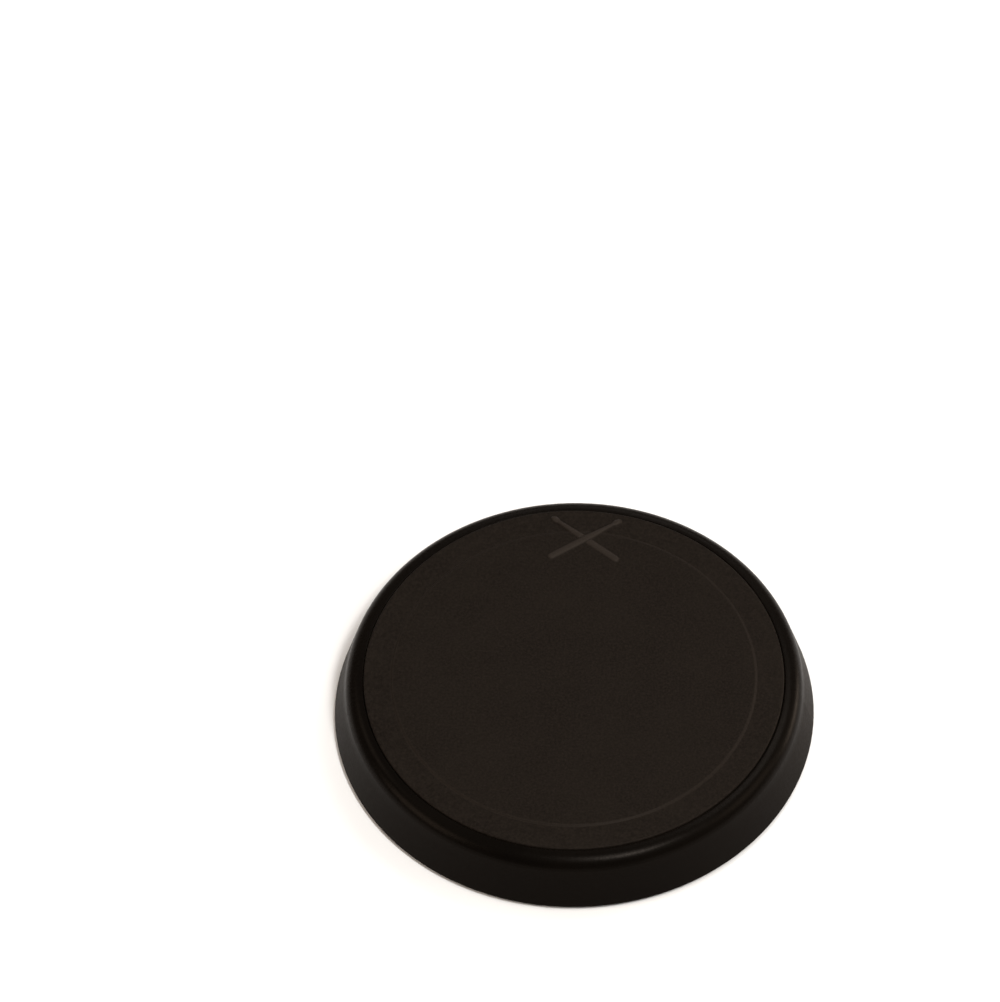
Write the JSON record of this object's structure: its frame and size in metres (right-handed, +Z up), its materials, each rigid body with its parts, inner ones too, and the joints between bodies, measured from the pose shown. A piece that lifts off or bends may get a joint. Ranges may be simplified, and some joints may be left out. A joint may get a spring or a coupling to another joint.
{
  "type": "practice pad",
  "caption": "Round practice pad with a black rubber striking head on a flared moulded base, closed underneath, with a threaded bush for a stand.",
  "frame": {"origin": "centre of the pad on the plane it rests on, under its feet", "axes": "+Z up through the striking face, +Y from the centre towards the moulded emblem near the edge, +X to the right seen from above with the emblem at the top"},
  "size_m": [0.2218, 0.2218, 0.0308],
  "materials": {
    "rubber_head": "matt, fine moulded grain",
    "foam": "matt closed-cell foam",
    "board": "hardboard, raw",
    "housing": "satin moulded",
    "cover": "fine textured",
    "bush": "zinc plated",
    "screws": "zinc plated",
    "feet": "matt"
  },
  "bodies": {
    "root": {"striking_head": "rubber_head", "rebound_foam": "foam", "impact_board": "board", "housing": "housing", "bottom_cover": "cover", "thread_bush": "bush", "bush_screw_1": "screws", "bush_screw_2": "screws", "bush_screw_3": "screws", "cover_screw_1": "screws", "cover_screw_2": "screws", "cover_screw_3": "screws", "cover_screw_4": "screws", "cover_screw_5": "screws", "cover_screw_6": "screws", "foot_1": "feet", "foot_2": "feet", "foot_3": "feet", "foot_4": "feet", "foot_5": "feet", "foot_6": "feet"}
  },
  "joints": []
}
